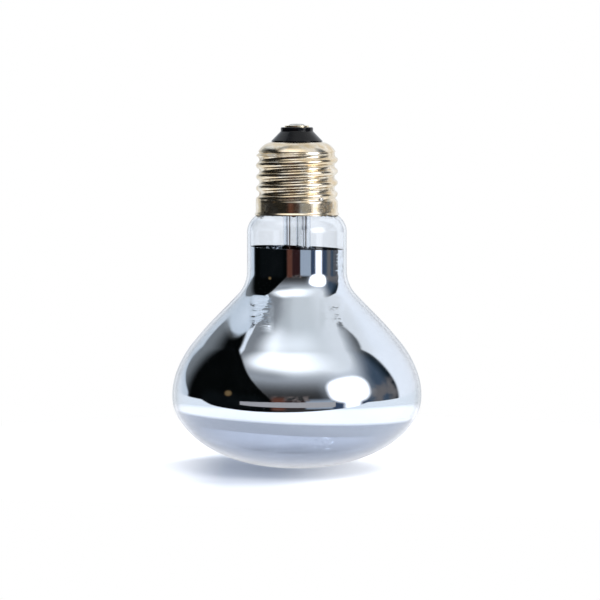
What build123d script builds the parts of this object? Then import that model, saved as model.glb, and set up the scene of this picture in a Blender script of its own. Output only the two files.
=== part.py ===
"""A mirrored reflector lamp bulb with a screw cap, standing on its rounded face.

All sizes are in millimetres. The origin is the lowest point of the face, +Z runs
along the bulb's axis towards the cap, and the side that is seen first faces -Y.
"""
from build123d import *
import math
import os

# Glass bulb: outer outline, from the face up to the cap
belly_radius = 40.0
face_depth = 22.9
face_flatness = 27.0
face_fullness = 12.5
belly_band = 0.2
belly_bend = 25.0
cone_angle = 42.9
neck_bend = 11.0
neck_radius = 16.0
neck_shoulder_bend = 6.5
neck_shoulder_angle = 50.0
throat_bend = 1.5
throat_gap = 1.95
glass_wall = 0.9
rim_height = 81.0
rim_glass_step = 0.2
seal_rise = 7.8

# Mirror film on the inside of the glass, thicker than the real film
film_thickness = 0.12
film_gap = 0.02
film_top_drop = 10.5
film_top_tilt = 2.0
film_bottom_height = 13.9
film_bottom_tilt = 2.8

# Screw cap, rolled from thin sheet
sheet = 0.3
skirt_margin = 0.05
skirt_length = 4.3
lip_flare = 0.35
lip_height = 0.35
lip_flare_length = 0.9
thread_pitch = 3.629
thread_crest_radius = 13.1
thread_root_radius = 12.05
thread_root_gap = 0.1
thread_root_sink = 0.04
thread_foot_slope = 0.3
thread_crest_phase = 6.7
thread_run_in = 1.6
thread_run_out = 1.3
thread_top = 20.2
crown_step = 0.35
crown_ledge = 0.4
crown_bend = 5.8
crown_mouth_radius = 8.0
crown_trim = 0.6
crown_height = 3.2

# Insulator and contact on top of the cap
insulator_clearance = 0.05
insulator_skirt_depth = 1.0
insulator_dish_radius = 9.5
insulator_dish_height = 2.4
insulator_bore_radius = 1.2
insulator_collar = 0.2
insulator_cone_height = 3.3
insulator_nose_radius = 5.2
insulator_nose_height = 1.3
insulator_edge = 0.4
contact_radius = 3.9
contact_thickness = 0.5
contact_edge = 0.15
eyelet_wall = 0.3
eyelet_length = 1.5
solder_radius = 2.8
solder_flat_radius = 1.4
solder_height = 0.6
solder_plug_length = 0.8

# Cement between the cap and the glass
cement_clearance = 0.05
cement_foot = 0.3
cement_reach = 3.0

# Glass stem inside the neck
stem_radius = 4.35
stem_wall = 1.0
stem_clearance = 0.02
press_drop = 30.8
press_height = 7.5
press_thickness = 3.2
press_blend = 3.0
press_edge = 1.0
exhaust_radius = 1.35
exhaust_wall = 0.45
exhaust_offset = 1.1
exhaust_rise = 6.2
exhaust_port_drop = 5.0
arbor_radius = 1.1
arbor_length = 14.0
button_radius = 2.0
button_height = 3.0
button_edge = 1.2

# Wires
wire_clearance = 0.02
outer_lead_radius = 0.2
outer_lead_bend = 1.6
left_lead_offset = -2.3
right_lead_offset = 2.9
centre_lead_bend_rise = 1.2
centre_lead_rise = 10.0
side_lead_rise = 2.8
side_lead_inset = 1.4
side_lead_angle = -53.2
side_joint_height = 5.3
side_joint_inset = 0.45
side_joint_size = (1.2, 1.9, 1.4)
seal_wire_radius = 0.22
inner_lead_radius = 0.3
inner_lead_drop = 4.0
inner_lead_foot = 3.0
inner_lead_bend = 2.5
support_radius = 0.18
support_bend = 1.2
support_reach = 0.5
support_hook_radius = 0.95

# Filament: a coil strung round an open ring
filament_ring_radius = 9.0
filament_height = 36.0
filament_angles = (-45.0, 22.5, 90.0, 157.5, 225.0)
coil_radius = 0.45
coil_wire_radius = 0.15
coil_turns = 8

# Radii that follow from the sizes above
crown_radius = thread_root_radius + crown_step
skirt_radius = thread_crest_radius + skirt_margin
lip_radius = skirt_radius + lip_flare
rim_glass_radius = skirt_radius - rim_glass_step
throat_radius = skirt_radius - sheet - throat_gap
side_joint_radius = skirt_radius - side_joint_inset
side_lead_radius = side_joint_radius - side_lead_inset

# Heights that follow from the sizes above
seal_height = rim_height + seal_rise
film_top_height = rim_height - film_top_drop
skirt_top = rim_height + skirt_length
crown_base = rim_height + thread_top
crown_top = crown_base + crown_height
nose_top = crown_top + insulator_cone_height + insulator_nose_height
contact_top = nose_top + contact_thickness
press_bottom = seal_height - press_drop
stem_floor = press_bottom + press_height + press_blend
exhaust_tip = seal_height + exhaust_rise
centre_lead_bend_height = seal_height + centre_lead_bend_rise
side_lead_top = seal_height + side_lead_rise


def spin(line):
    """Turn a closed outline of radius and height into a solid round the Z axis."""
    return revolve(make_face(Plane.XZ * line), Axis.Z)


def turned(*points, radius=None):
    """A solid of revolution through corner points, rounded where radii are given."""
    if radius is None:
        return spin(Polyline(*points, close=True))
    return spin(FilletPolyline(*points, radius=radius, close=True))


def rod(start, end, radius):
    """A straight round rod between two points."""
    axis = Vector(*end) - Vector(*start)
    return extrude(Plane(origin=start, z_dir=axis) * Circle(radius), axis.length)


def bent_wire(points, bend, radius):
    """A round wire along straight runs joined by arcs of one bend radius."""
    path = FilletPolyline(*points, radius=bend)
    return sweep(Plane(origin=path @ 0, z_dir=path % 0) * Circle(radius), path=path)


def polar(radius, angle, height):
    """A point at a radius and an angle in degrees round the bulb's axis."""
    turn = math.radians(angle)
    return (radius * math.cos(turn), radius * math.sin(turn), height)


def glass_outline(inset):
    """The bulb's side and face as a line from the seal to the axis, moved inwards."""
    neck_slope = math.radians(neck_shoulder_angle)
    cone_slope = math.radians(cone_angle)
    belly_corner = face_depth + belly_band + belly_bend * math.tan(cone_slope / 2)
    cone_corner = belly_corner + (belly_radius - neck_radius) / math.tan(cone_slope)
    neck_corner = rim_height - (neck_radius - rim_glass_radius) / math.tan(neck_slope)
    throat_corner = rim_height + (rim_glass_radius - throat_radius) / math.tan(neck_slope)
    side = FilletPolyline(
        (throat_radius - inset, seal_height),
        (throat_radius - inset, throat_corner - inset * math.tan(neck_slope / 2)),
        (neck_radius - inset, neck_corner - inset * math.tan(neck_slope / 2)),
        (neck_radius - inset, cone_corner - inset * math.tan(cone_slope / 2)),
        (belly_radius - inset, belly_corner - inset * math.tan(cone_slope / 2)),
        (belly_radius - inset, face_depth),
        radius=(
            throat_bend + inset,
            neck_shoulder_bend - inset,
            neck_bend + inset,
            belly_bend - inset,
        ),
    )
    face = Bezier(
        (belly_radius - inset, face_depth),
        (belly_radius - inset, inset + face_fullness * (1 - inset / face_depth)),
        (face_flatness * (1 - inset / belly_radius), inset),
        (0, inset),
    )
    return side + face


def glass_body(inset):
    """The bulb as a filled solid, with its surface moved inwards."""
    closing = Polyline((0, inset), (0, seal_height), (throat_radius - inset, seal_height))
    return spin(glass_outline(inset) + closing)


def glass_envelope():
    """The blown glass, open only at the throat, where the stem seals it."""
    seal_edge = Line((throat_radius, seal_height), (throat_radius - glass_wall, seal_height))
    middle = Line((0, 0), (0, glass_wall))
    return spin(glass_outline(0) + seal_edge + glass_outline(glass_wall) + middle)


def reflector_coating():
    """The mirror inside the glass, with slightly tilted upper and lower edges."""
    outside = glass_wall + film_gap
    band = glass_body(outside) - glass_body(outside + film_thickness)
    reach = 4 * belly_radius
    block = Box(reach, reach, reach)
    above = Pos(0, 0, film_top_height) * Rot(0, film_top_tilt, 0) * Pos(0, 0, reach / 2)
    below = Pos(0, 0, film_bottom_height) * Rot(0, film_bottom_tilt, 0) * Pos(0, 0, -reach / 2)
    return band - above * block - below * block


def thread_ridge(inset):
    """The thread's rounded ridge, swept right-handed past both ends of its stretch."""
    start = skirt_top - thread_pitch
    height = crown_base + thread_pitch - start
    turns = (start - rim_height - thread_crest_phase) / thread_pitch
    helix = Helix(pitch=thread_pitch, height=height, radius=thread_root_radius)
    path = Pos(0, 0, start) * Rot(0, 0, 360 * turns) * helix
    outwards = Vector((path @ 0).X, (path @ 0).Y, 0)
    plane = Plane(origin=path @ 0, x_dir=outwards, z_dir=Vector(-outwards.Y, outwards.X, 0))

    depth = thread_crest_radius - thread_root_radius
    side = (thread_pitch - thread_root_gap) / 2
    foot = -thread_root_sink - inset
    base = foot - depth / 2
    crest = Spline(
        (foot, -side),
        (depth / 2 - inset, -side / 2),
        (depth - inset, 0),
        (depth / 2 - inset, side / 2),
        (foot, side),
        tangents=[(thread_foot_slope, 1), (-thread_foot_slope, 1)],
    )
    section = crest + Polyline((foot, side), (base, side), (base, -side), (foot, -side))
    return sweep(plane * make_face(section), path=path, is_frenet=True)


def thread_bar(inset):
    """A bar with the cap's right-hand thread, cut to the threaded stretch."""
    foot = skirt_top - thread_run_in
    core = rod(
        (0, 0, foot - thread_pitch),
        (0, 0, crown_base + 2 * thread_pitch),
        thread_root_radius - inset,
    )
    limits = turned(
        (0, foot),
        (skirt_radius - inset, foot),
        (skirt_radius - inset, crown_base - thread_run_out),
        (thread_root_radius - inset, crown_base),
        (0, crown_base),
    )
    return limits & (core + thread_ridge(inset))


def cap_body(inset):
    """The cap as a filled solid, with its surface moved inwards."""
    core = thread_root_radius - crown_ledge - inset
    foot = rim_height - inset
    skirt = turned(
        (0, foot),
        (lip_radius - inset, foot),
        (lip_radius - inset, rim_height + lip_height),
        (skirt_radius - inset, rim_height + lip_flare_length),
        (skirt_radius - inset, skirt_top),
        (core, skirt_top + thread_run_in),
        (0, skirt_top + thread_run_in),
    )
    crown_outline = RadiusArc(
        (crown_mouth_radius - crown_trim, crown_top - inset),
        (crown_radius - inset, crown_base),
        crown_bend - inset,
    )
    crown = spin(
        crown_outline
        + Polyline(
            (crown_radius - inset, crown_base),
            (core, crown_base - crown_ledge),
            (0, crown_base - crown_ledge),
            (0, crown_top - inset),
            (crown_mouth_radius - crown_trim, crown_top - inset),
        )
    )
    return skirt + thread_bar(inset) + crown


def side_joint_place():
    """Where the side lead comes out through the cap, facing outwards."""
    return Pos(*polar(side_joint_radius, side_lead_angle, rim_height + side_joint_height)) * Rot(
        0, 0, side_lead_angle
    )


def cap_shell(outside):
    """The rolled sheet of the cap, open at its foot and its mouth."""
    mouth = Pos(0, 0, crown_top) * Cylinder(crown_mouth_radius, 2 * crown_height)
    reach = 2 * (skirt_radius - side_lead_radius)
    hole = side_joint_place() * Rot(0, 90, 0) * Cylinder(outer_lead_radius + wire_clearance, reach)
    return outside - cap_body(sheet) - mouth - hole


def cap_insulator():
    """The moulded insulator that fills the crown and carries the contact."""
    inset = sheet + insulator_clearance
    flange = thread_root_radius - inset
    foot = crown_base - insulator_skirt_depth
    crown = spin(
        RadiusArc(
            (crown_mouth_radius - crown_trim, crown_top - inset),
            (flange, crown_base),
            crown_bend - inset,
        )
        + Polyline(
            (flange, crown_base),
            (flange, foot),
            (0, foot),
            (0, crown_top - inset),
            (crown_mouth_radius - crown_trim, crown_top - inset),
        )
    )
    neck = crown_mouth_radius - insulator_clearance
    seat = crown_top + insulator_clearance
    cone_top = crown_top + insulator_cone_height
    top = turned(
        (0, crown_base),
        (neck, crown_base + crown_height / 2),
        (neck, seat),
        (crown_mouth_radius + insulator_collar, seat),
        (crown_mouth_radius + insulator_collar, seat + insulator_collar),
        (insulator_nose_radius, cone_top),
        (insulator_nose_radius, nose_top),
        (0, nose_top),
        radius=(0, 0, 0, 0, insulator_collar / 2, insulator_edge, insulator_edge, 0),
    )
    dish = turned(
        (0, foot),
        (insulator_dish_radius, foot),
        (contact_radius, foot + insulator_dish_height),
        (0, foot + insulator_dish_height),
    )
    bore = rod((0, 0, foot), (0, 0, nose_top), insulator_bore_radius)
    return crown + top - dish - bore


def contact_plate():
    """The round contact with its hollow rivet down into the insulator."""
    rivet = insulator_bore_radius - insulator_clearance
    return turned(
        (rivet - eyelet_wall, nose_top - eyelet_length),
        (rivet, nose_top - eyelet_length),
        (rivet, nose_top),
        (contact_radius, nose_top),
        (contact_radius, contact_top),
        (rivet - eyelet_wall, contact_top),
        radius=(0, 0, 0, 0, contact_edge, contact_edge),
    )


def contact_solder():
    """The flattened drop of solder that fills the rivet and tops the bulb."""
    plug = insulator_bore_radius - insulator_clearance - eyelet_wall - wire_clearance
    top = contact_top + solder_height
    slope = solder_radius - solder_flat_radius
    bend = (slope ** 2 + solder_height ** 2) / (2 * solder_height)
    return spin(
        RadiusArc((solder_flat_radius, top), (solder_radius, contact_top), bend)
        + Polyline(
            (solder_radius, contact_top),
            (plug, contact_top),
            (plug, contact_top - solder_plug_length),
            (0, contact_top - solder_plug_length),
            (0, top),
            (solder_flat_radius, top),
        )
    )


def side_solder(outside):
    """The small weld where the side lead meets the outside of the cap."""
    blob = scale(Sphere(0.5), by=side_joint_size)
    lead = side_lead(outer_lead_radius + wire_clearance)
    return side_joint_place() * blob - outside - lead


def basing_cement():
    """The ring of cement that holds the cap on the glass."""
    outer = skirt_radius - sheet - cement_clearance
    inner = throat_radius - cement_reach
    ring = turned(
        (inner, rim_height + cement_foot),
        (outer, rim_height + cement_foot),
        (outer, skirt_top - cement_clearance),
        (inner, skirt_top - cement_clearance),
    )
    return ring - glass_body(-cement_clearance)


def lead_offsets():
    """How far each lead stands from the stem's middle."""
    return {"left": left_lead_offset, "right": right_lead_offset}


def stem_tube():
    """The flared glass tube, pressed flat round the wires at its lower end."""
    lip = throat_radius - glass_wall - stem_clearance
    flare_start = seal_height - stem_wall - (lip - stem_radius)
    bore = stem_radius - stem_wall
    flare = spin(
        RadiusArc((stem_radius, flare_start), (lip, seal_height - stem_wall), lip - stem_radius)
        + Polyline((lip, seal_height - stem_wall), (lip, seal_height))
        + RadiusArc((bore, flare_start), (lip, seal_height), lip - bore)
        + Polyline((bore, flare_start), (bore, stem_floor), (stem_radius, stem_floor),
                   (stem_radius, flare_start))
    )
    flat = RectangleRounded(2 * stem_radius, press_thickness, press_edge)
    press = extrude(Pos(0, 0, press_bottom) * flat, press_height)
    blend = loft([Pos(0, 0, press_bottom + press_height) * flat,
                  Pos(0, 0, stem_floor) * Circle(stem_radius)])
    stem = flare + blend + press
    for offset in lead_offsets().values():
        stem -= rod((offset, 0, press_bottom), (offset, 0, stem_floor),
                    seal_wire_radius + wire_clearance)
    port = exhaust_radius - exhaust_wall
    port_height = stem_floor - exhaust_port_drop
    stem -= rod((exhaust_offset, 0, port_height), (exhaust_offset, 0, stem_floor), port)
    stem -= rod((exhaust_offset, 0, port_height), (exhaust_offset, stem_radius, port_height), port)
    return stem


def exhaust_tube():
    """The thin tube that the bulb was pumped out through, closed at its top."""
    bore = exhaust_radius - exhaust_wall
    tube = turned(
        (0, stem_floor),
        (exhaust_radius, stem_floor),
        (exhaust_radius, exhaust_tip),
        (0, exhaust_tip),
        radius=(0, 0, exhaust_radius - wire_clearance, 0),
    )
    hollow = rod((0, 0, stem_floor), (0, 0, exhaust_tip - 2 * exhaust_radius), bore)
    return Pos(exhaust_offset, 0, 0) * (tube - hollow)


def support_root():
    """The height at which the support wires leave the glass button."""
    return press_bottom - arbor_length


def arbor_rod():
    """The glass rod under the press, with the button that holds the supports."""
    middle = support_root()
    button = turned(
        (0, middle - button_height / 2),
        (button_radius, middle - button_height / 2),
        (button_radius, middle + button_height / 2),
        (0, middle + button_height / 2),
        radius=(0, button_edge, button_edge, 0),
    )
    arbor = button + rod((0, 0, middle), (0, 0, press_bottom), arbor_radius)
    for angle in filament_angles[1:-1]:
        arbor -= support_wire(angle, support_radius + wire_clearance)
    return arbor


def support_wire(angle, radius):
    """A wire from the button out to the coil, ending in a ring round it."""
    top = filament_height + support_hook_radius
    points = [
        polar(button_radius / 2, angle, support_root()),
        polar(filament_ring_radius * support_reach, angle, support_root()),
        polar(filament_ring_radius, angle, top + support_bend),
        polar(filament_ring_radius, angle, top),
    ]
    centre = polar(filament_ring_radius, angle, filament_height)
    hook = Plane(origin=centre, z_dir=polar(1, angle + 90, 0)) * Torus(support_hook_radius, radius)
    return bent_wire(points, support_bend / 2, radius) + hook


def centre_lead():
    """The wire from the press to the contact on top of the cap."""
    straight = centre_lead_bend_height + centre_lead_rise
    points = [
        (left_lead_offset, 0, stem_floor),
        (left_lead_offset, 0, centre_lead_bend_height),
        (0, 0, straight),
        (0, 0, contact_top - solder_plug_length),
    ]
    return bent_wire(points, outer_lead_bend, outer_lead_radius)


def side_lead(radius):
    """The wire from the press over the seal and out through the cap's side."""
    joint = rim_height + side_joint_height
    points = [
        (right_lead_offset, 0, stem_floor),
        (right_lead_offset, 0, side_lead_top),
        polar(side_lead_radius, side_lead_angle, side_lead_top),
        polar(side_lead_radius, side_lead_angle, joint),
        polar(side_joint_radius + outer_lead_radius, side_lead_angle, joint),
    ]
    bends = (outer_lead_bend, outer_lead_bend, 2 * outer_lead_radius)
    return bent_wire(points, bends, radius)


def inner_lead(offset, angle):
    """The stiff wire from the press down to one end of the coil."""
    foot = filament_height + coil_radius + coil_wire_radius + wire_clearance
    points = [
        (offset, 0, press_bottom),
        (offset, 0, press_bottom - inner_lead_drop),
        polar(filament_ring_radius, angle, foot + inner_lead_foot),
        polar(filament_ring_radius, angle, foot),
    ]
    return bent_wire(points, inner_lead_bend, inner_lead_radius)


def filament():
    """The coil, one straight span between each two holding points."""
    posts = [Vector(*polar(filament_ring_radius, angle, filament_height))
             for angle in filament_angles]
    top = Vector(0, 0, coil_radius)
    joints = [Pos(*(post + top)) * Sphere(coil_wire_radius) for post in posts]
    spans = []
    for start, end in zip(posts[:-1], posts[1:]):
        span = end - start
        helix = Helix(pitch=span.length / coil_turns, height=span.length, radius=coil_radius)
        path = Plane(origin=start, x_dir=(0, 0, 1), z_dir=span) * helix
        section = Plane(origin=path @ 0, z_dir=path % 0) * Circle(coil_wire_radius)
        spans.append(sweep(section, path=path, is_frenet=True))
    return joints[0] + joints[1:] + spans


def main():
    """Build every piece and write each to its own file."""
    outside = cap_body(0)
    pieces = {
        "cap_shell": cap_shell(outside),
        "cap_insulator": cap_insulator(),
        "contact_plate": contact_plate(),
        "contact_solder": contact_solder(),
        "side_solder": side_solder(outside),
        "basing_cement": basing_cement(),
        "glass_envelope": glass_envelope(),
        "reflector_coating": reflector_coating(),
        "stem_tube": stem_tube(),
        "exhaust_tube": exhaust_tube(),
        "arbor_rod": arbor_rod(),
        "centre_outer_lead": centre_lead(),
        "side_outer_lead": side_lead(outer_lead_radius),
        "filament": filament(),
    }
    ends = {"left": filament_angles[-1], "right": filament_angles[0]}
    for side, offset in lead_offsets().items():
        pieces["seal_wire_" + side] = rod(
            (offset, 0, press_bottom), (offset, 0, stem_floor), seal_wire_radius
        )
        pieces["inner_lead_" + side] = inner_lead(offset, ends[side])
    for number, angle in enumerate(filament_angles[1:-1], start=1):
        pieces["support_wire_" + str(number)] = support_wire(angle, support_radius)

    os.makedirs("parts", exist_ok=True)
    for name, piece in pieces.items():
        export_step(piece, "parts/" + name + ".step")


main()
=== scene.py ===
"""Looks of a mirrored reflector lamp bulb that stands on its rounded face.

Lengths are in metres, angles in degrees. +Z runs along the bulb's axis to the cap,
and the photograph's camera looks along +Y.
"""
import math
import random

import bmesh
import bpy
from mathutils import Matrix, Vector, noise


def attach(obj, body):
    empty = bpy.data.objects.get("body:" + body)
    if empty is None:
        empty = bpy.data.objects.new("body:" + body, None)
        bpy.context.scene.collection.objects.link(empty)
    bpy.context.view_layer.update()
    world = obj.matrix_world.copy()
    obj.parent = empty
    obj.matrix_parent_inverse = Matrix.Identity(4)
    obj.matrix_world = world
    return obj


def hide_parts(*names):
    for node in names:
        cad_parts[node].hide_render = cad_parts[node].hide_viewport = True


MM = 0.001
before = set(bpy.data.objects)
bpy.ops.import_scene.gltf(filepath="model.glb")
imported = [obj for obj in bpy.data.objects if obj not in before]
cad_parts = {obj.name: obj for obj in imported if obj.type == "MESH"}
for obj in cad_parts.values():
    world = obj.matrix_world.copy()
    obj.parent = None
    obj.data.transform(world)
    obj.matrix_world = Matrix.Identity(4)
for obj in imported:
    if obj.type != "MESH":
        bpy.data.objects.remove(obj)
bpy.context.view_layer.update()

# Glass outline, the same sizes as the solid's
BELLY_RADIUS = 40.0 * MM
FACE_DEPTH = 22.9 * MM
FACE_FLATNESS = 27.0 * MM
FACE_FULLNESS = 12.5 * MM
BELLY_BAND = 0.2 * MM
BELLY_BEND = 25.0 * MM
CONE_ANGLE = 42.9
NECK_BEND = 11.0 * MM
NECK_RADIUS = 16.0 * MM
NECK_SHOULDER_BEND = 6.5 * MM
NECK_SHOULDER_ANGLE = 50.0
THROAT_BEND = 1.5 * MM
THROAT_RADIUS = 10.9 * MM
GLASS_WALL = 0.9 * MM
RIM_HEIGHT = 81.0 * MM
RIM_GLASS_RADIUS = 12.95 * MM
SEAL_HEIGHT = 88.8 * MM

# Mirror film
FILM_THICKNESS = 0.12 * MM
FILM_GAP = 0.02 * MM
FILM_TOP_HEIGHT = 70.5 * MM
FILM_TOP_TILT = 2.0
FILM_BOTTOM_HEIGHT = 13.9 * MM
FILM_BOTTOM_TILT = 2.8

# Cap, the same sizes as the solid's
SHEET = 0.3 * MM
SKIRT_RADIUS = 13.15 * MM
SKIRT_LENGTH = 4.3 * MM
LIP_RADIUS = 13.5 * MM
LIP_HEIGHT = 0.35 * MM
LIP_FLARE_LENGTH = 0.9 * MM
LIP_BENDS = (0.15 * MM, 0.3 * MM)
THREAD_PITCH = 3.629 * MM
THREAD_CREST = 13.1 * MM
THREAD_ROOT = 12.05 * MM
THREAD_PHASE = 6.7 * MM
THREAD_RUN_IN = 1.6 * MM
THREAD_RUN_OUT = 1.3 * MM
THREAD_TOP = 20.2 * MM
THREAD_FLAT = 0.05 * MM
CROWN_RADIUS = 12.4 * MM
CROWN_MOUTH = 8.0 * MM
CROWN_TRIM = 0.6 * MM
CROWN_HEIGHT = 3.2 * MM
CROWN_BEND = 5.8 * MM

# Fineness of the turned meshes
ROUND_STEPS = 240
OUTLINE_STEP = 0.62 * MM
FILM_STEP = OUTLINE_STEP / 2.2
FILM_ROWS = 170
CAP_ROW_STEP = 0.15 * MM
LIP_STEP = 0.12 * MM

# Camera, set by the photograph's frame: its scale and where the bulb stands in it
PHOTO_PIXELS = 600
PHOTO_SCALE = 3.12 / MM
PHOTO_AXIS_X = 296.9
PHOTO_BASE_Y = 467.5
CAMERA_DISTANCE = 1.0
CAMERA_ELEVATION = 3.6
SENSOR = 36.0

# How the blown wall strays from its outline. A swell is its height, reach and size.
SWELLS = ((45.6 * MM, 6.2 * MM, 0.42 * MM), (35.7 * MM, 6.6 * MM, -0.29 * MM))
RIPPLE_HEIGHT = 52.0 * MM
RIPPLE_SPREAD = 9.0 * MM
RIPPLE_SIZE = 0.012 * MM
RIPPLE_WAVES = 5
RIPPLE_LENGTH = 3.2 * MM
DENT_SIZE = 0.05 * MM
DENT_WAVES = 1.6
DENT_LENGTH = 16 * MM

# Upper edge of the face's tint, which is partly the glass's blue and partly painted shade
TINT_HEIGHT = 17.6 * MM
TINT_TILT = 2.2
TINT_SOFTNESS = 0.3 * MM

# Where the film is wrinkled: both sides where the neck was drawn in, and the neck's right side
WRINKLE_START = 46.5 * MM
WRINKLE_END = 54.5 * MM
WRINKLE_FADE = 1.8 * MM
WRINKLE_DEPTH = 0.3 * MM
WRINKLE_SIDES = (8.0 * MM, 14.0 * MM, 1.2 * MM)
NECK_TOP = 62.0 * MM
NECK_SIDE = 13.0 * MM

# Heat stain round the side weld
STAIN_ANGLE = -39.2
STAIN_HEIGHT = RIM_HEIGHT + SKIRT_LENGTH - 1.6 * MM
STAIN_REACH = 4.2 * MM

# Cement crumbs. The ranges are in millimetres.
CRUMB_COUNT = 46
CRUMB_SEED = 11
CRUMB_SIZES = (0.12, 0.34)
CRUMB_RADII = (13.0, 13.25)
CRUMB_DROPS = (-0.1, 0.12)

# White floor and the strip past it, which stands for the table's edge
FLOOR_DROP = 0.02 * MM
FLOOR_TURN = -15.0
LEDGE_HEIGHTS = (11.0 * MM, 28.0 * MM)
LEDGE_ENDS = ((0.24, -140.0), (0.17, -58.0))

# Colours of light, linear
AMBIENT = (0.52, 0.57, 0.66)
PAPER_WHITE = (0.86, 0.9, 0.95)
CEILING_GREY = (0.66, 0.68, 0.685)
SOFT_LIGHT = (1.45, 1.45, 1.45)
SHAFT_WHITE = (1.6, 1.6, 1.65)
SOFTBOX_WHITE = (10.0, 10.0, 10.1)
RIM_GREY = (0.22, 0.23, 0.27)

# The room that the mirror shows: the normal of the plane through the eye and the ceiling's back
# edge, the way to the backdrop, and azimuths from -Y towards +X with elevations
CEILING_BACK = (-0.468, 0.801, -0.374)
BACKDROP = (-0.06, 0.99, 0.1)
SOFTBOX = (52, 18)
SOFTBOX_HALF = (21.0, 18.0)
SQUARENESS = 2.8
FAR_LAMP = (-68, 10.5)
SHAFT_TURN = 53.5

# Patches of the room: from, to and softness of the azimuth, and the same of the elevation
SHELF = ((8, 34, 2), (-9, 5, 4))
CUPBOARD = ((-11, 8, 2), (-9, 4, 3))
CLUTTER = ((-22, 14, 4), (2, 11, 3))
HAZE = ((-96, -34, 9), (-10, 9, 6))
POST = ((-23, -11, 3), (-14, 9, 4))
STAND = ((34.5, 72, 2), (-16, 1, 3))

# Lamps: name, azimuth, elevation, distance, size and power
LAMPS = (("overhead", 30.0, 72.0, 0.8, 0.6, 2.2), ("side", 122.0, 50.0, 0.9, 0.6, 6.0))
LAMP_AIM = (0.0, 0.0, 45.0 * MM)

# Glass: the tint, the colour of its shadow, and for the bulb the face's tint at the edge and in the middle.
# The face's tint is partly the glass's blue and partly painted shade for the shaded table it shows; it is
# lighter in the middle, painted light over the shadow seen through it.
BULB_GLASS = ((0.92, 0.95, 0.99), (0.85, 0.88, 0.95), ((0.565, 0.6, 0.66), (0.69, 0.74, 0.83)))
STEM_GLASS = ((0.97, 0.98, 0.985), (0.95, 0.96, 0.97))

# Plain metals: name, dark and light colour, roughness, grain per metre, bump, and what wears it
METALS = (
    ("contact_brass", (0.72, 0.58, 0.36), (0.88, 0.8, 0.6), (0.18, 0.34), 500.0, 0.00001,
     ("contact_plate",)),
    ("solder", (0.55, 0.54, 0.52), (0.8, 0.79, 0.76), (0.25, 0.45), 900.0, 0.00004,
     ("contact_solder", "side_solder")),
    ("lead_wire", (0.16, 0.13, 0.12), (0.3, 0.24, 0.2), (0.3, 0.5), 900.0, 0.00001,
     ("centre_outer_lead", "side_outer_lead")),
    ("seal_wire", (0.42, 0.2, 0.15), (0.6, 0.32, 0.24), (0.3, 0.5), 900.0, 0.00001,
     ("seal_wire_left", "seal_wire_right")),
    ("inner_wire", (0.4, 0.4, 0.4), (0.55, 0.55, 0.54), (0.25, 0.4), 900.0, 0.00001,
     ("inner_lead_left", "inner_lead_right")),
    ("support_wire", (0.3, 0.3, 0.32), (0.44, 0.44, 0.46), (0.3, 0.45), 900.0, 0.00001,
     ("support_wire_1", "support_wire_2", "support_wire_3")),
    ("filament_wire", (0.2, 0.2, 0.22), (0.34, 0.34, 0.36), (0.35, 0.5), 900.0, 0.00001,
     ("filament",)),
)


class Graph:
    """Short ways to add and join the nodes of one material or world."""

    def __init__(self, tree):
        self.tree = tree
        tree.nodes.clear()

    def node(self, kind, inputs=None, **settings):
        made = self.tree.nodes.new(kind)
        for key, value in settings.items():
            setattr(made, key, value)
        for key, value in (inputs or {}).items():
            self.feed(made.inputs[key], value)
        return made

    def feed(self, socket, value):
        if isinstance(value, bpy.types.NodeSocket):
            self.tree.links.new(value, socket)
        else:
            socket.default_value = value

    def math(self, operation, first, second=0.0):
        made = self.node("ShaderNodeMath", {0: first, 1: second}, operation=operation)
        return made.outputs[0]

    def fade(self, value, start, end, low=0.0, high=1.0):
        """Go smoothly from low at start to high at end."""
        made = self.node("ShaderNodeMapRange", {"Value": value}, interpolation_type="SMOOTHSTEP")
        for key, number in (("From Min", start), ("From Max", end), ("To Min", low), ("To Max", high)):
            self.feed(made.inputs[key], number)
        return made.outputs["Result"]

    def band(self, value, low, high, soft):
        """1 between low and high, fading to 0 over soft on each side."""
        rise = self.fade(value, low - soft, low + soft)
        fall = self.fade(value, high + soft, high - soft)
        return self.math("MULTIPLY", rise, fall)

    def both(self, *masks):
        product = masks[0]
        for mask in masks[1:]:
            product = self.math("MULTIPLY", product, mask)
        return product

    def dot(self, vector, direction):
        made = self.node("ShaderNodeVectorMath", {0: vector, 1: direction}, operation="DOT_PRODUCT")
        return made.outputs["Value"]

    def mix(self, factor, under, over):
        made = self.node("ShaderNodeMix", data_type="RGBA")
        for index, value in ((0, factor), (6, under), (7, over)):
            self.feed(made.inputs[index], value if not isinstance(value, tuple) else (*value[:3], 1.0))
        return made.outputs[2]

    def place(self, kind="Object"):
        return self.node("ShaderNodeTexCoord").outputs[kind]

    def noise(self, vector, scale, detail=2.0, roughness=0.5, distortion=0.0):
        """Soft random values about 0.5. The scale is in waves per metre."""
        made = self.node(
            "ShaderNodeTexNoise",
            {"Vector": vector, "Scale": scale, "Detail": detail, "Roughness": roughness,
             "Distortion": distortion},
        )
        return made.outputs["Fac"]

    def bump(self, height, distance, strength=1.0, under=None):
        made = self.node("ShaderNodeBump", {"Height": height, "Distance": distance, "Strength": strength})
        if under is not None:
            self.feed(made.inputs["Normal"], under)
        return made.outputs["Normal"]


def towards(azimuth, elevation):
    """The direction at an azimuth from -Y towards +X and an elevation."""
    turn, rise = math.radians(azimuth), math.radians(elevation)
    return Vector((math.sin(turn) * math.cos(rise), -math.cos(turn) * math.cos(rise), math.sin(rise)))


def edge_normal(first, second):
    """The normal of the plane through the eye and a straight edge in the room."""
    return tuple(towards(*first).cross(towards(*second)).normalized())


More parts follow.
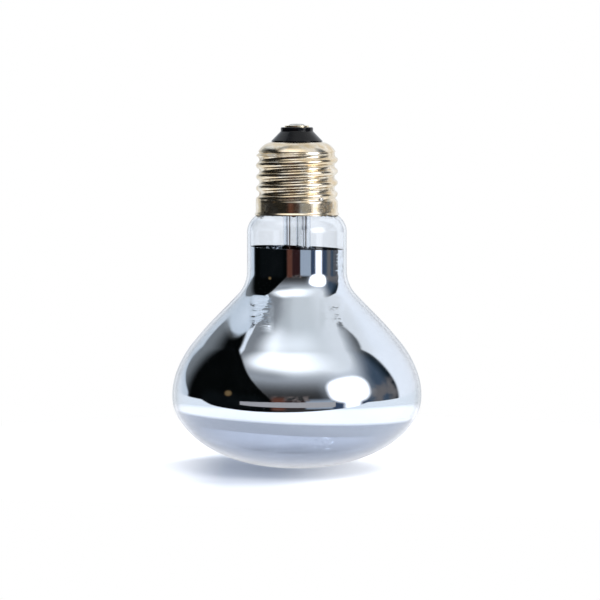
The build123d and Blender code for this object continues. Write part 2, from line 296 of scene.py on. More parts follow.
class Sky:
    """Directions in the room as sockets, the turn and the rise in degrees."""

    def __init__(self, g, way):
        self.g = g
        self.way = way
        self.x, y, self.z = g.node("ShaderNodeSeparateXYZ", {0: way}).outputs
        to_degrees = 180 / math.pi
        self.rise = g.math("MULTIPLY", g.math("ARCSINE", self.z), to_degrees)
        self.turn = g.math("MULTIPLY", g.math("ARCTAN2", self.x, g.math("MULTIPLY", y, -1.0)), to_degrees)

    def patch(self, turns, rises):
        """A patch with soft edges."""
        return self.g.both(self.g.band(self.turn, *turns), self.g.band(self.rise, *rises))


def bright_layers(g, sky):
    """The paper, the ceiling behind the bulb and a soft light above."""
    grey = g.fade(g.dot(sky.way, tuple(towards(200, 84))), 0.62, 0.99)
    ceiling = g.mix(grey, (0.78, 0.81, 0.83), CEILING_GREY)
    ceiling = g.mix(g.fade(sky.x, 0.0, -0.37), ceiling, (0.24, 0.25, 0.26))
    ceiling = g.mix(g.fade(sky.x, 0.15, 0.5), ceiling, (0.82, 0.83, 0.84))
    paper = g.mix(g.fade(sky.x, 0.1, 0.6), PAPER_WHITE, (0.96, 0.98, 1.02))
    over = g.both(g.fade(g.dot(sky.way, CEILING_BACK), 0.015, -0.015), g.fade(sky.z, 0.55, 0.75))
    paper = g.mix(over, paper, ceiling)
    soft_light = g.both(g.band(sky.rise, 47, 74, 8), g.fade(sky.turn, -90, -50), g.fade(sky.turn, 68, 0))
    return g.mix(soft_light, paper, SOFT_LIGHT)


def wall_layers(g, sky, paper):
    """Dark walls that go over into the paper above them, and what stands there."""
    turn, rise = sky.turn, sky.rise
    start = g.fade(turn, 58, 108, 4, 38)
    end = g.math("ADD", g.fade(turn, 25, 55, 50, 44), g.fade(turn, 62, 100, 0, 18))
    level = g.math("DIVIDE", g.math("SUBTRACT", rise, start), g.math("SUBTRACT", end, start))
    level = g.math("POWER", g.math("MAXIMUM", g.math("MINIMUM", level, 1.0), 0.0), 2.6)
    wall = g.mix(g.fade(turn, 10, 70), (0.035, 0.033, 0.032), (0.055, 0.08, 0.115))
    wall = g.mix(g.fade(turn, 92, 108), wall, (0.006, 0.012, 0.017))
    blotches = g.fade(g.noise(sky.way, 3.2, 2.0), 0.44, 0.64)
    blotches = g.both(g.fade(turn, 66, 80), g.fade(rise, 26, 16), blotches)
    wall = g.mix(blotches, wall, (0.15, 0.14, 0.14))
    room = g.mix(level, wall, paper)
    room = g.mix(sky.patch(*SHELF), room, (0.36, 0.41, 0.48))
    room = g.mix(sky.patch(*CUPBOARD), room, (0.03, 0.012, 0.012))
    lumps = g.fade(g.noise(sky.way, 8.0, 3.0), 0.44, 0.6)
    return g.mix(g.both(sky.patch(*CLUTTER), lumps), room, (0.17, 0.14, 0.13))


def left_layers(g, sky, room):
    """The black left side under a slanted edge, a far lamp in it, a post and a stand."""
    slanted = g.fade(g.dot(sky.way, edge_normal((-20, 0), (-110, 53.7))), -0.02, 0.02)
    wedge = g.both(slanted, g.fade(sky.turn, -16, -26))
    black = g.mix(g.fade(sky.turn, -116, -140), (0.0015, 0.002, 0.002), (0.2, 0.215, 0.225))
    haze = g.both(sky.patch(*HAZE), g.noise(sky.way, 6.0, 2.0))
    black = g.mix(haze, black, (0.006, 0.008, 0.009))
    to_lamp = g.dot(sky.way, tuple(towards(*FAR_LAMP)))
    lamp = g.fade(to_lamp, math.cos(math.radians(5.0)), math.cos(math.radians(1.0)))
    black = g.mix(lamp, black, (0.17, 0.11, 0.05))
    room = g.mix(wedge, room, black)
    room = g.mix(sky.patch(*POST), room, (0.12, 0.045, 0.03))
    return g.mix(sky.patch(*STAND), room, (0.045, 0.065, 0.11))


def light_layers(g, sky, colour):
    """The square softbox, the glow round it and a lit shaft below."""
    reach = soft_square(g, sky.way, towards(*SOFTBOX), *SOFTBOX_HALF)
    glow = g.both(g.fade(reach, 1.6, 0.9), g.fade(sky.rise, -2, 12), 0.16)
    colour = g.mix(glow, colour, (0.8, 0.84, 0.88))
    softbox = g.mix(g.fade(reach, 1.0, 0.0), SHAFT_WHITE, SOFTBOX_WHITE)
    colour = g.mix(g.fade(reach, 1.16, 0.84), colour, softbox)
    off_shaft = g.math("ABSOLUTE", g.math("SUBTRACT", sky.turn, SHAFT_TURN))
    shaft = g.both(g.fade(off_shaft, 11.0, 5.0), g.band(sky.rise, -9, 6, 3))
    return g.mix(shaft, colour, SHAFT_WHITE)


def room_layers(g, way):
    """The photographer's room as the mirror shows it: dark walls under a wide soft light."""
    sky = Sky(g, way)
    paper = bright_layers(g, sky)
    room = left_layers(g, sky, wall_layers(g, sky, paper))
    left_end = g.math("MAXIMUM", g.fade(sky.rise, 0, 16, -122, -145), g.fade(sky.rise, 24, 56, -146, -106))
    from_end = g.math("SUBTRACT", sky.turn, left_end)
    cover = g.both(g.fade(from_end, -1.5, 1.5), g.fade(sky.turn, 112, 108))
    near_end = g.both(g.fade(from_end, -24, -2), g.fade(sky.turn, -95, -105), 0.5)
    colour = g.mix(cover, g.mix(near_end, paper, (0.4, 0.48, 0.56)), room)
    return light_layers(g, sky, colour)


def soft_square(g, way, centre, half_width, half_height):
    """How far out a direction lies from a square light with round corners: 1 is its edge."""
    side = Vector((0, 0, 1)).cross(centre).normalized()
    top = centre.cross(side)
    depth = g.math("MAXIMUM", g.dot(way, tuple(centre)), 0.05)
    reach = 0.0
    for direction, half in ((side, half_width), (top, half_height)):
        share = g.math("ABSOLUTE", g.math("DIVIDE", g.dot(way, tuple(direction)), depth))
        share = g.math("DIVIDE", share, math.tan(math.radians(half)))
        reach = g.math("ADD", g.math("POWER", share, SQUARENESS), reach)
    behind = g.math("MULTIPLY", g.math("LESS_THAN", g.dot(way, tuple(centre)), 0.05), 9.0)
    return g.math("ADD", g.math("POWER", reach, 1 / SQUARENESS), behind)


def make_world():
    """White for the eye, even light for surfaces, and the room for reflections."""
    world = bpy.data.worlds.new("studio")
    bpy.context.scene.world = world
    world.use_nodes = True
    g = Graph(world.node_tree)
    path = g.node("ShaderNodeLightPath").outputs
    way = g.place("Generated")
    room = room_layers(g, way)
    mirrored = g.math("GREATER_THAN", path["Glossy Depth"], 0.5)
    bent = g.both(path["Is Transmission Ray"], g.fade(g.dot(way, BACKDROP), 0.975, 0.93))
    backdrop = g.mix(bent, (1.0, 1.0, 1.0), RIM_GREY)
    colour = g.mix(mirrored, backdrop, room)
    colour = g.mix(path["Is Diffuse Ray"], colour, AMBIENT)
    background = g.node("ShaderNodeBackground", {"Color": colour, "Strength": 1.0})
    g.node("ShaderNodeOutputWorld", {"Surface": background.outputs[0]})


def new_material(name):
    material = bpy.data.materials.new(name)
    material.use_nodes = True
    return material, Graph(material.node_tree)


def surface(g, shader):
    g.node("ShaderNodeOutputMaterial", {"Surface": shader.outputs[0]})


def glass_material(name, tint, shadow_tint, face_tint_and_shade=None):
    """Smooth blown glass, very faintly wavy, that lets lamps through, its colour darkened at the silhouette
    as a painted dark rim. The pair tints the face, partly with the glass's blue and partly with painted
    shade and light.
    """
    material, g = new_material(name)
    place = g.place()
    colour = tint
    if face_tint_and_shade is not None:
        # The face's tint, partly the glass's blue and partly painted: darker near its upper edge as painted
        # shade for the shaded table it shows, lighter in the middle as painted light over the floor's
        # shadow seen through the face.
        across, _, height = g.node("ShaderNodeSeparateXYZ", {0: place}).outputs
        height = g.math("ADD", height, g.math("MULTIPLY", across, math.tan(math.radians(TINT_TILT))))
        face = g.mix(g.fade(height, 0.65 * TINT_HEIGHT, 0.25 * TINT_HEIGHT), *face_tint_and_shade)
        edge = g.fade(height, TINT_HEIGHT + TINT_SOFTNESS, TINT_HEIGHT - TINT_SOFTNESS)
        colour = g.mix(edge, tint, face)
    # Painted shade: the colour darkens towards the silhouette, a painted dark rim for the darker
    # surroundings that the glass's edge would show.
    rim = g.fade(g.node("ShaderNodeLayerWeight", {"Blend": 0.5}).outputs["Facing"], 0.74, 0.92)
    colour = g.mix(rim, colour, (0.3, 0.3, 0.34))
    waves = g.noise(place, 90.0, 1.0)
    glass = g.node(
        "ShaderNodeBsdfPrincipled",
        {"Base Color": colour, "Roughness": 0.0, "IOR": 1.5, "Transmission Weight": 1.0,
         "Normal": g.bump(waves, 0.00004, 0.6)},
    )
    clear = g.node("ShaderNodeBsdfTransparent", {"Color": (*shadow_tint, 1.0)})
    lamp_ray = g.node("ShaderNodeLightPath").outputs["Is Shadow Ray"]
    surface(g, g.node("ShaderNodeMixShader", {0: lamp_ray, 1: glass.outputs[0], 2: clear.outputs[0]}))
    return material


def mirror_material():
    """The film: a clean mirror, faintly uneven, and wrinkled in places."""
    material, g = new_material("mirror_film")
    place = g.place()
    x, _, height = g.node("ShaderNodeSeparateXYZ", {0: place}).outputs
    cloud = g.noise(place, 160.0, 3.0)
    roughness = g.fade(cloud, 0.35, 0.75, 0.012, 0.04)
    colour = g.mix(g.fade(g.noise(place, 60.0, 2.0), 0.3, 0.7), (0.9, 0.925, 0.95), (0.93, 0.945, 0.96))
    rings = g.node("ShaderNodeVectorMath", {0: place, 1: (1.0, 1.0, 2.6)}, operation="MULTIPLY")
    drawn = g.band(height, WRINKLE_START, WRINKLE_END, WRINKLE_FADE)
    drawn = g.both(drawn, g.band(g.math("ABSOLUTE", x), *WRINKLE_SIDES))
    neck = g.both(g.fade(height, WRINKLE_END, NECK_TOP), g.fade(x, NECK_SIDE - 1.5 * MM, NECK_SIDE))
    drawn = g.math("ADD", drawn, g.math("MULTIPLY", neck, 0.8))
    wrinkles = g.both(g.noise(rings.outputs[0], 230.0, 2.0, 0.5), drawn)
    normal = g.bump(wrinkles, WRINKLE_DEPTH, 1.0)
    normal = g.bump(g.noise(place, 520.0, 2.0), 0.000003, 1.0, normal)
    surface(g, g.node(
        "ShaderNodeBsdfPrincipled",
        {"Base Color": colour, "Metallic": 1.0, "Roughness": roughness, "Normal": normal},
    ))
    return material


def cap_material():
    """Nickel plate over brass: pale gold, brushed round, with painted shade in the thread's roots and a
    heat stain.
    """
    material, g = new_material("cap_metal")
    place = g.place()
    x, y, z = g.node("ShaderNodeSeparateXYZ", {0: place}).outputs
    radius = g.math("SQRT", g.math("ADD", g.math("MULTIPLY", x, x), g.math("MULTIPLY", y, y)))
    blotch = g.fade(g.noise(place, 260.0, 4.0, 0.6), 0.35, 0.7)
    colour = g.mix(blotch, (0.78, 0.63, 0.42), (0.93, 0.86, 0.74))
    # Painted shade: the thread's roots are darker in patches, and a little rougher.
    root = g.both(
        g.fade(radius, THREAD_ROOT + 0.45 * MM, THREAD_ROOT),
        g.band(z, RIM_HEIGHT + SKIRT_LENGTH, RIM_HEIGHT + THREAD_TOP, 0.4 * MM),
    )
    root_shade = g.both(root, g.fade(g.noise(place, 420.0, 4.0, 0.7), 0.4, 0.75))
    colour = g.mix(root_shade, colour, (0.3, 0.24, 0.16))
    middle = tuple(polar(SKIRT_RADIUS, STAIN_ANGLE, STAIN_HEIGHT))
    offset = g.node("ShaderNodeVectorMath", {0: place, 1: middle}, operation="DISTANCE")
    heat = g.fade(offset.outputs["Value"], STAIN_REACH, 1.0 * MM)
    heat = g.both(heat, g.fade(g.noise(place, 600.0, 3.0, 0.6), 0.32, 0.6))
    tarnish = g.mix(g.fade(g.noise(place, 900.0, 2.0), 0.45, 0.6), (0.5, 0.38, 0.24), (0.36, 0.35, 0.3))
    colour = g.mix(heat, colour, tarnish)

    squashed = g.node("ShaderNodeVectorMath", {0: place, 1: (1.0, 1.0, 14.0)}, operation="MULTIPLY")
    lines = g.noise(squashed.outputs[0], 700.0, 3.0, 0.65)
    specks = g.noise(place, 2600.0, 2.0)
    roughness = g.fade(lines, 0.3, 0.7, 0.13, 0.24)
    roughness = g.math("ADD", roughness, g.math("MULTIPLY", heat, 0.16))
    roughness = g.math("ADD", roughness, g.math("MULTIPLY", root_shade, 0.12))
    normal = g.bump(lines, 0.000006, 0.8)
    normal = g.bump(specks, 0.000004, 0.6, normal)
    surface(g, g.node(
        "ShaderNodeBsdfPrincipled",
        {"Base Color": colour, "Metallic": 1.0, "Roughness": roughness, "Normal": normal},
    ))
    return material


def black_glass_material():
    """The insulator: poured black glass with shallow flow marks and dust."""
    material, g = new_material("cap_glass")
    place = g.place()
    dust = g.fade(g.noise(place, 1800.0, 3.0, 0.7), 0.62, 0.78)
    colour = g.mix(dust, (0.004, 0.004, 0.005), (0.035, 0.03, 0.026))
    roughness = g.fade(g.noise(place, 500.0, 3.0), 0.35, 0.7, 0.07, 0.2)
    waves = g.noise(place, 380.0, 2.0)
    surface(g, g.node(
        "ShaderNodeBsdfPrincipled",
        {"Base Color": colour, "Roughness": roughness, "Specular IOR Level": 0.26,
         "Normal": g.bump(waves, 0.00006, 0.6)},
    ))
    return material


def metal_material(name, dark, light, rough, scale, bump):
    """A worn plain metal whose colour, gloss and surface vary together."""
    material, g = new_material(name)
    place = g.place()
    cloud = g.noise(place, scale, 4.0, 0.6)
    colour = g.mix(g.fade(cloud, 0.35, 0.68), dark, light)
    roughness = g.fade(g.noise(place, scale * 2.3, 3.0), 0.3, 0.7, *rough)
    grain = g.noise(place, scale * 4.0, 3.0, 0.6)
    surface(g, g.node(
        "ShaderNodeBsdfPrincipled",
        {"Base Color": colour, "Metallic": 1.0, "Roughness": roughness, "Normal": g.bump(grain, bump, 0.8)},
    ))
    return material


def cement_material():
    """Brown-black baked cement with pale grains."""
    material, g = new_material("cement")
    place = g.place()
    grains = g.fade(g.noise(place, 2400.0, 4.0, 0.7), 0.5, 0.68)
    colour = g.mix(grains, (0.035, 0.028, 0.022), (0.2, 0.17, 0.13))
    lumps = g.noise(place, 1500.0, 4.0, 0.7)
    surface(g, g.node(
        "ShaderNodeBsdfPrincipled",
        {"Base Color": colour, "Roughness": 0.85, "Normal": g.bump(lumps, 0.0001, 1.0)},
    ))
    return material


def floor_material():
    """White paper near the bulb whose soft shadow is partly cast by the lamps and partly painted by its
    glow, pure white further off.
    """
    material, g = new_material("paper_floor")
    place = g.place()
    distance = g.node("ShaderNodeVectorMath", {0: place}, operation="LENGTH").outputs["Value"]
    path = g.node("ShaderNodeLightPath").outputs
    mirrored = g.math("GREATER_THAN", path["Glossy Depth"], 0.5)
    seen = g.math("SUBTRACT", 1.0, path["Is Diffuse Ray"])
    # In the mirror the paper is darker and most of its brightness is painted light from the glow.
    albedo = g.mix(mirrored, (0.8, 0.8, 0.81), (0.3, 0.3, 0.3))
    paper = g.node("ShaderNodeBsdfDiffuse", {"Color": albedo})
    across = g.node("ShaderNodeSeparateXYZ", {0: place}).outputs[0]
    # Painted shadow: for the eye the glow is dim blue between these sides and brighter to the right and far
    # left, which paints the shadow's place and colour.
    right = g.fade(across, -10 * MM, 24 * MM, 0.0, 0.5)
    left = g.fade(across, -20 * MM, -42 * MM, 0.0, 0.5)
    painted_shadow_and_light = g.mix(g.math("MAXIMUM", left, right), (0.13, 0.155, 0.2), (1.0, 1.0, 1.0))
    # Painted light: rays through the glass see the paper lifted by this glow, standing in for light through
    # the clear face; rays from the mirror see it lifted more.
    painted_light_off_camera = g.mix(mirrored, (0.29, 0.32, 0.37), (0.87, 0.88, 0.91))
    light = g.mix(path["Is Camera Ray"], painted_light_off_camera, painted_shadow_and_light)
    lift = g.node("ShaderNodeEmission", {"Color": light, "Strength": seen})
    near = g.node("ShaderNodeAddShader", {0: paper.outputs[0], 1: lift.outputs[0]})
    glow = g.mix(mirrored, (1.0, 1.0, 1.0), (0.88, 0.92, 0.96))
    white = g.node("ShaderNodeEmission", {"Color": g.mix(seen, (0.7, 0.7, 0.7), glow), "Strength": 1.0})
    far = g.fade(distance, 0.1, 0.17)
    surface(g, g.node("ShaderNodeMixShader", {0: far, 1: near.outputs[0], 2: white.outputs[0]}))
    return material


def polar(radius, angle, height):
    turn = math.radians(angle)
    return Vector((radius * math.cos(turn), radius * math.sin(turn), height))


def run_to(points, end, step):
    """Add points along a straight run to its end."""
    start = points[-1].copy()
    count = max(1, round((end - start).length / step))
    points.extend(start.lerp(end, index / count) for index in range(1, count + 1))


def rounded_path(corners, radii, step):
    """Points along straight runs with rounded corners, about one step apart."""
    corners = [Vector(corner) for corner in corners]
    points = [corners[0]]
    for before, corner, after, radius in zip(corners, corners[1:], corners[2:], radii):
        back = (before - corner).normalized()
        ahead = (after - corner).normalized()
        half = back.angle(ahead) / 2
        centre = corner + (back + ahead).normalized() * (radius / math.sin(half))
        entry = corner + back * (radius / math.tan(half))
        leave = corner + ahead * (radius / math.tan(half))
        run_to(points, entry, step)
        turn = math.pi - 2 * half
        count = max(4, math.ceil(radius * turn / step))
        for index in range(1, count + 1):
            share = index / count
            spoke = (entry - centre) * math.sin((1 - share) * turn)
            spoke += (leave - centre) * math.sin(share * turn)
            points.append(centre + spoke / math.sin(turn))
    run_to(points, corners[-1], step)
    return points


def face_curve(inset, step):
    """The face's outline from the belly to the axis, a cubic curve."""
    corners = [
        Vector((BELLY_RADIUS - inset, FACE_DEPTH)),
        Vector((BELLY_RADIUS - inset, inset + FACE_FULLNESS * (1 - inset / FACE_DEPTH))),
        Vector((FACE_FLATNESS * (1 - inset / BELLY_RADIUS), inset)),
        Vector((0.0, inset)),
    ]
    count = math.ceil(1.2 * BELLY_RADIUS / step)
    points = []
    for index in range(1, count + 1):
        t = index / count
        weights = ((1 - t) ** 3, 3 * t * (1 - t) ** 2, 3 * t * t * (1 - t), t ** 3)
        points.append(sum((corner * weight for corner, weight in zip(corners, weights)), Vector((0, 0))))
    points[-1].x = 0.0
    return points


def glass_outline(inset, step=OUTLINE_STEP):
    """The bulb's outline as (radius, height) points from the seal to the axis."""
    neck_half = math.tan(math.radians(NECK_SHOULDER_ANGLE) / 2)
    neck_slope = math.tan(math.radians(NECK_SHOULDER_ANGLE))
    cone_half = math.tan(math.radians(CONE_ANGLE) / 2)
    belly_corner = FACE_DEPTH + BELLY_BAND + BELLY_BEND * cone_half
    cone_corner = belly_corner + (BELLY_RADIUS - NECK_RADIUS) / math.tan(math.radians(CONE_ANGLE))
    neck_corner = RIM_HEIGHT - (NECK_RADIUS - RIM_GLASS_RADIUS) / neck_slope
    throat_corner = RIM_HEIGHT + (RIM_GLASS_RADIUS - THROAT_RADIUS) / neck_slope
    corners = [
        (THROAT_RADIUS - inset, SEAL_HEIGHT),
        (THROAT_RADIUS - inset, throat_corner - inset * neck_half),
        (NECK_RADIUS - inset, neck_corner - inset * neck_half),
        (NECK_RADIUS - inset, cone_corner - inset * cone_half),
        (BELLY_RADIUS - inset, belly_corner - inset * cone_half),
        (BELLY_RADIUS - inset, FACE_DEPTH),
    ]
    radii = [THROAT_BEND + inset, NECK_SHOULDER_BEND - inset, NECK_BEND + inset, BELLY_BEND - inset]
    return rounded_path(corners, radii, step) + face_curve(inset, step)


def ripple(angle, height):
    """How far the blown wall strays from its outline, most where the neck meets the cone."""
    swell = sum(size * math.exp(-((height - middle) / reach) ** 2) for middle, reach, size in SWELLS)
    around = polar(1.0, angle, 0.0)
    bend = math.exp(-((height - RIPPLE_HEIGHT) / RIPPLE_SPREAD) ** 2)
    fine = noise.noise((around.x * RIPPLE_WAVES, around.y * RIPPLE_WAVES, height / RIPPLE_LENGTH))
    broad = noise.noise((around.x * DENT_WAVES + 7, around.y * DENT_WAVES, height / DENT_LENGTH))
    dent = DENT_SIZE * (broad - 1) / 2 * min(1.0, height / FACE_DEPTH)
    return swell + RIPPLE_SIZE * bend * fine + dent


def mesh_object(name, vertices, faces, material, sharp_angle=35.0):
    """A smooth-shaded mesh object with its faces turned outwards."""
    mesh = bpy.data.meshes.new(name)
    mesh.from_pydata([tuple(vertex) for vertex in vertices], [], faces)
    form = bmesh.new()
    form.from_mesh(mesh)
    bmesh.ops.recalc_face_normals(form, faces=form.faces)
    form.to_mesh(mesh)
    form.free()
    mesh.polygons.foreach_set("use_smooth", [True] * len(mesh.polygons))
    mesh.set_sharp_from_angle(angle=math.radians(sharp_angle))
    mesh.materials.append(material)
    made = bpy.data.objects.new(name, mesh)
    bpy.context.scene.collection.objects.link(made)
    return made


def ring_faces(rings, closed):
    """Faces between neighbouring rings of vertex numbers. A ring of one is a pole."""
    faces = []
    pairs = list(zip(rings, rings[1:]))
    if closed:
        pairs.append((rings[-1], rings[0]))
    for lower, upper in pairs:
        if len(lower) == 1 and len(upper) == 1:
            continue
        count = max(len(lower), len(upper))
        for index in range(count):
            after = (index + 1) % count
            if len(lower) == 1:
                faces.append((lower[0], upper[after], upper[index]))
            elif len(upper) == 1:
                faces.append((lower[index], lower[after], upper[0]))
            else:
                faces.append((lower[index], lower[after], upper[after], upper[index]))
    return faces


def skin(name, rows, closed, material, steps=ROUND_STEPS, sharp_angle=35.0):
    """A mesh round the axis. Each row gives (radius, height) at an angle in degrees."""
    vertices, rings = [], []
    for row in rows:
        centre = row(0.0)
        if centre[0] <= 0.0:
            rings.append([len(vertices)])
            vertices.append((0.0, 0.0, centre[1]))
            continue
        rings.append(list(range(len(vertices), len(vertices) + steps)))
        for index in range(steps):
            angle = 360.0 * index / steps
            radius, height = row(angle)
            vertices.append(polar(radius, angle, height))
    return mesh_object(name, vertices, ring_faces(rings, closed), material, sharp_angle)


def fixed_row(point, rippled=False):
    """A row of one radius and height, with the blown wall's waviness if asked."""
    radius, height = point
    if radius <= 0.0 or not rippled:
        return lambda angle: (radius, height)
    return lambda angle: (radius + ripple(angle, height), height)


def make_envelope(material):
    """The blown glass: outer and inner wall, joined at the seal."""
    outer = glass_outline(0.0)
    inner = glass_outline(GLASS_WALL)
    rows = [fixed_row(point, True) for point in outer + inner[::-1]]
    return skin("glass_bulb", rows, True, material)


def make_film(material):
    """The mirror inside the glass, between its two tilted edges."""
    outline = glass_outline(GLASS_WALL + FILM_GAP, FILM_STEP)
    top_slope = math.tan(math.radians(FILM_TOP_TILT))
    bottom_slope = math.tan(math.radians(FILM_BOTTOM_TILT))

    def crossing(angle, start, slope):
        """How far along the outline a tilted edge lies at this angle."""
        across = math.cos(math.radians(angle))
        heights = [point.y + point.x * across * slope - start for point in outline]
        for index, (above, below) in enumerate(zip(heights, heights[1:])):
            if above >= 0.0 > below:
                return index + above / (above - below)
        return 0.0

    def point_at(place, inset):
        index = min(int(place), len(outline) - 2)
        here, ahead = outline[index], outline[index + 1]
        point = here.lerp(ahead, place - index)
        slope = (ahead - here).normalized()
        return point + Vector((slope.y, -slope.x)) * inset

    edges = {}
    for index in range(ROUND_STEPS):
        angle = 360.0 * index / ROUND_STEPS
        edges[angle] = (crossing(angle, FILM_TOP_HEIGHT, top_slope),
                        crossing(angle, FILM_BOTTOM_HEIGHT, bottom_slope))

    def film_row(share, inset):
        def row(angle):
            top, bottom = edges[angle]
            point = point_at(top + (bottom - top) * share, inset)
            return (point.x + ripple(angle, point.y), point.y)
        return row

    shares = [index / FILM_ROWS for index in range(FILM_ROWS + 1)]
    rows = [film_row(share, 0.0) for share in shares]
    rows += [film_row(share, FILM_THICKNESS) for share in reversed(shares)]
    return skin("mirror_film", rows, True, material)


def thread_radius(angle, height):
    """The rolled thread's radius at an angle and a height above the rim."""
    half = THREAD_PITCH / 2
    depth = THREAD_CREST - THREAD_ROOT
    arc = (half * half + depth * depth) / (4 * depth)
    shift = (height - THREAD_PHASE - THREAD_PITCH * angle / 360.0 + half) % THREAD_PITCH - half
    if abs(shift) <= half / 2:
        return THREAD_CREST - arc + math.sqrt(arc ** 2 - shift ** 2)
    return THREAD_ROOT + arc - math.sqrt(arc ** 2 - (half - abs(shift)) ** 2)


def smooth(value, start, end):
    share = min(1.0, max(0.0, (value - start) / (end - start)))
    return share * share * (3 - 2 * share)


def cap_radius(angle, height):
    """The rolled part of the cap, from the skirt through the thread to the crown."""
    rise = smooth(height, SKIRT_LENGTH - 0.2 * MM, SKIRT_LENGTH + THREAD_RUN_IN)
    fade = smooth(height, THREAD_TOP - THREAD_RUN_OUT, THREAD_TOP - 0.25 * MM)
    thread = thread_radius(angle, height)
    thread = thread + (THREAD_ROOT + THREAD_FLAT - thread) * fade
    return SKIRT_RADIUS + (thread - SKIRT_RADIUS) * rise


def crown_arc(inset):
    """Points of the crown's round shoulder, from its widest ring to the mouth."""
    base = RIM_HEIGHT + THREAD_TOP
    start = Vector((CROWN_RADIUS - inset, base))
    end = Vector((CROWN_MOUTH - CROWN_TRIM, base + CROWN_HEIGHT - inset))
    radius = CROWN_BEND - inset
    chord = end - start
    inward = Vector((-chord.y, chord.x)).normalized()
    centre = (start + end) / 2 + inward * math.sqrt(radius ** 2 - (chord.length / 2) ** 2)
    first = math.atan2(start.y - centre.y, start.x - centre.x)
    last = math.acos((CROWN_MOUTH - centre.x) / radius)
    count = math.ceil(radius * (last - first) / CAP_ROW_STEP)
    turns = [first + (last - first) * index / count for index in range(count + 1)]
    return [centre + Vector((math.cos(turn), math.sin(turn))) * radius for turn in turns]


def cap_rows(inset):
    """Rows of the cap's sheet from the rim to the mouth, moved inwards."""
    lip = rounded_path(
        [(LIP_RADIUS - inset, RIM_HEIGHT), (LIP_RADIUS - inset, RIM_HEIGHT + LIP_HEIGHT),
         (SKIRT_RADIUS - inset, RIM_HEIGHT + LIP_FLARE_LENGTH),
         (SKIRT_RADIUS - inset, RIM_HEIGHT + SKIRT_LENGTH - 0.3 * MM)],
        LIP_BENDS, LIP_STEP)
    rows = [fixed_row(point) for point in lip]

    def rolled(height):
        return lambda angle: (cap_radius(angle, height) - inset, RIM_HEIGHT + height)

    start = SKIRT_LENGTH - 0.15 * MM
    end = THREAD_TOP - 0.1 * MM
    count = math.ceil((end - start) / CAP_ROW_STEP)
    rows += [rolled(start + (end - start) * index / count) for index in range(count + 1)]
    return rows + [fixed_row(point) for point in crown_arc(inset)]


def make_cap(material):
    """The rolled sheet of the cap as one closed shell."""
    rows = cap_rows(0.0) + cap_rows(SHEET)[::-1]
    return skin("screw_cap", rows, True, material, sharp_angle=50.0)


def make_crumbs(material):
    """Crumbs of cement that squeezed out between the glass and the cap's lip."""
    draw = random.Random(CRUMB_SEED)
    form = bmesh.new()
    for _ in range(CRUMB_COUNT):
        angle = draw.uniform(0.0, 360.0)
        size = draw.uniform(*CRUMB_SIZES) * MM
        radius = draw.uniform(*CRUMB_RADII) * MM
        centre = polar(radius, angle, RIM_HEIGHT - draw.uniform(*CRUMB_DROPS) * MM)
        lump = bmesh.ops.create_icosphere(form, subdivisions=2, radius=size)
        stretch = Vector((draw.uniform(0.8, 2.2), draw.uniform(0.7, 1.4), draw.uniform(0.5, 1.0)))
        for vertex in lump["verts"]:
            point = vertex.co * (1 + 0.5 * noise.noise(vertex.co / size * 0.9 + centre * 1000))
            side = Vector((-centre.y, centre.x, 0.0)).normalized()
            out = Vector((centre.x, centre.y, 0.0)).normalized()
            vertex.co = (centre + side * point.x * stretch.x + out * point.y * stretch.y * 0.5
                         + Vector((0.0, 0.0, point.z * stretch.z)))
    mesh = bpy.data.meshes.new("cement_crumbs")
    form.to_mesh(mesh)
    form.free()
    mesh.polygons.foreach_set("use_smooth", [True] * len(mesh.polygons))
    mesh.materials.append(material)
    made = bpy.data.objects.new("cement_crumbs", mesh)
    bpy.context.scene.collection.objects.link(made)
    return made


def make_floor():
    """A pale sheet that ends in front of the bulb, as the table does in the mirror."""
    near, far, side = 0.1, 3.0, 0.8
    turn = math.radians(FLOOR_TURN)
    corners = [(-side, -near), (side, -near), (side, far), (-side, far)]
    vertices = [(x * math.cos(turn) - y * math.sin(turn), x * math.sin(turn) + y * math.cos(turn), 0.0)
                for x, y in corners]
    floor = mesh_object("floor", vertices, [(0, 1, 2, 3)], floor_material())
    floor.location.z = -FLOOR_DROP


def make_ledge():
    """A beige strip past the paper's front edge. Only the mirror shows it."""
    material, g = new_material("ledge")
    surface(g, g.node("ShaderNodeEmission", {"Color": (0.4, 0.38, 0.38, 1.0), "Strength": 1.0}))
    vertices = [polar(*end, height) for height in LEDGE_HEIGHTS for end in LEDGE_ENDS]
    ledge = mesh_object("ledge", vertices, [(0, 1, 3, 2)], material)
    ledge.visible_camera = False
    ledge.visible_diffuse = False
    ledge.visible_shadow = False


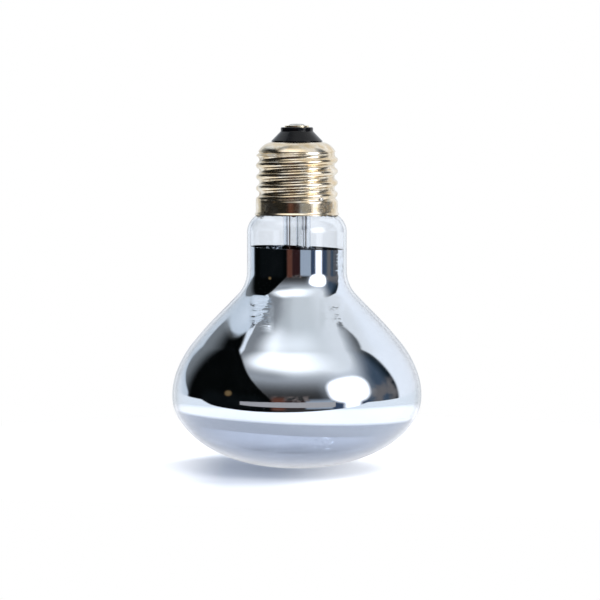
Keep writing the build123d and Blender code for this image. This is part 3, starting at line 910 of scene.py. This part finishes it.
def add_lamp(name, azimuth, elevation, distance, size, power):
    """A soft round lamp that lights surfaces and isn't seen in the mirror."""
    data = bpy.data.lights.new(name, "AREA")
    data.shape = "DISK"
    data.size = size
    data.energy = power
    aim = Vector(LAMP_AIM)
    lamp = bpy.data.objects.new(name, data)
    bpy.context.scene.collection.objects.link(lamp)
    lamp.location = aim + towards(azimuth, elevation) * distance
    lamp.rotation_mode = "QUATERNION"
    lamp.rotation_quaternion = (aim - lamp.location).to_track_quat("-Z", "Y")
    lamp.visible_glossy = False
    lamp.visible_transmission = False


def make_camera():
    """A long lens at the photograph's angle and scale."""
    width = PHOTO_PIXELS / PHOTO_SCALE
    aim = Vector(((PHOTO_PIXELS / 2 - PHOTO_AXIS_X) / PHOTO_SCALE, 0.0,
                  (PHOTO_BASE_Y - PHOTO_PIXELS / 2) / PHOTO_SCALE))
    data = bpy.data.cameras.new("camera")
    data.sensor_width = SENSOR
    data.lens = SENSOR * CAMERA_DISTANCE / width
    data.clip_start = 0.05
    camera = bpy.data.objects.new("camera", data)
    bpy.context.scene.collection.objects.link(camera)
    camera.location = aim + towards(0.0, CAMERA_ELEVATION) * CAMERA_DISTANCE
    camera.rotation_mode = "QUATERNION"
    camera.rotation_quaternion = (aim - camera.location).to_track_quat("-Z", "Y")
    bpy.context.scene.camera = camera


def dress(material, *nodes):
    """Give CAD nodes a material."""
    for name in nodes:
        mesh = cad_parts[name].data
        mesh.materials.clear()
        mesh.materials.append(material)


def add_piece(piece, slot, *nodes):
    """Put a new piece on the bulb's one body, in place of CAD nodes."""
    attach(piece, "root")
    if nodes:
        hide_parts(*nodes)


def main():
    make_camera()
    make_world()
    make_floor()
    make_ledge()
    for lamp in LAMPS:
        add_lamp(*lamp)

    cement = cement_material()
    add_piece(make_envelope(glass_material("bulb_glass", *BULB_GLASS)), "bulb_glass", "glass_envelope")
    add_piece(make_film(mirror_material()), "mirror_film", "reflector_coating")
    add_piece(make_cap(cap_material()), "cap_metal", "cap_shell")
    add_piece(make_crumbs(cement), "cement")

    dress(black_glass_material(), "cap_insulator")
    dress(cement, "basing_cement")
    dress(glass_material("stem_glass", *STEM_GLASS), "stem_tube", "exhaust_tube", "arbor_rod")
    for *look, nodes in METALS:
        dress(metal_material(*look), *nodes)
    bpy.context.scene.view_settings.view_transform = "Standard"


main()
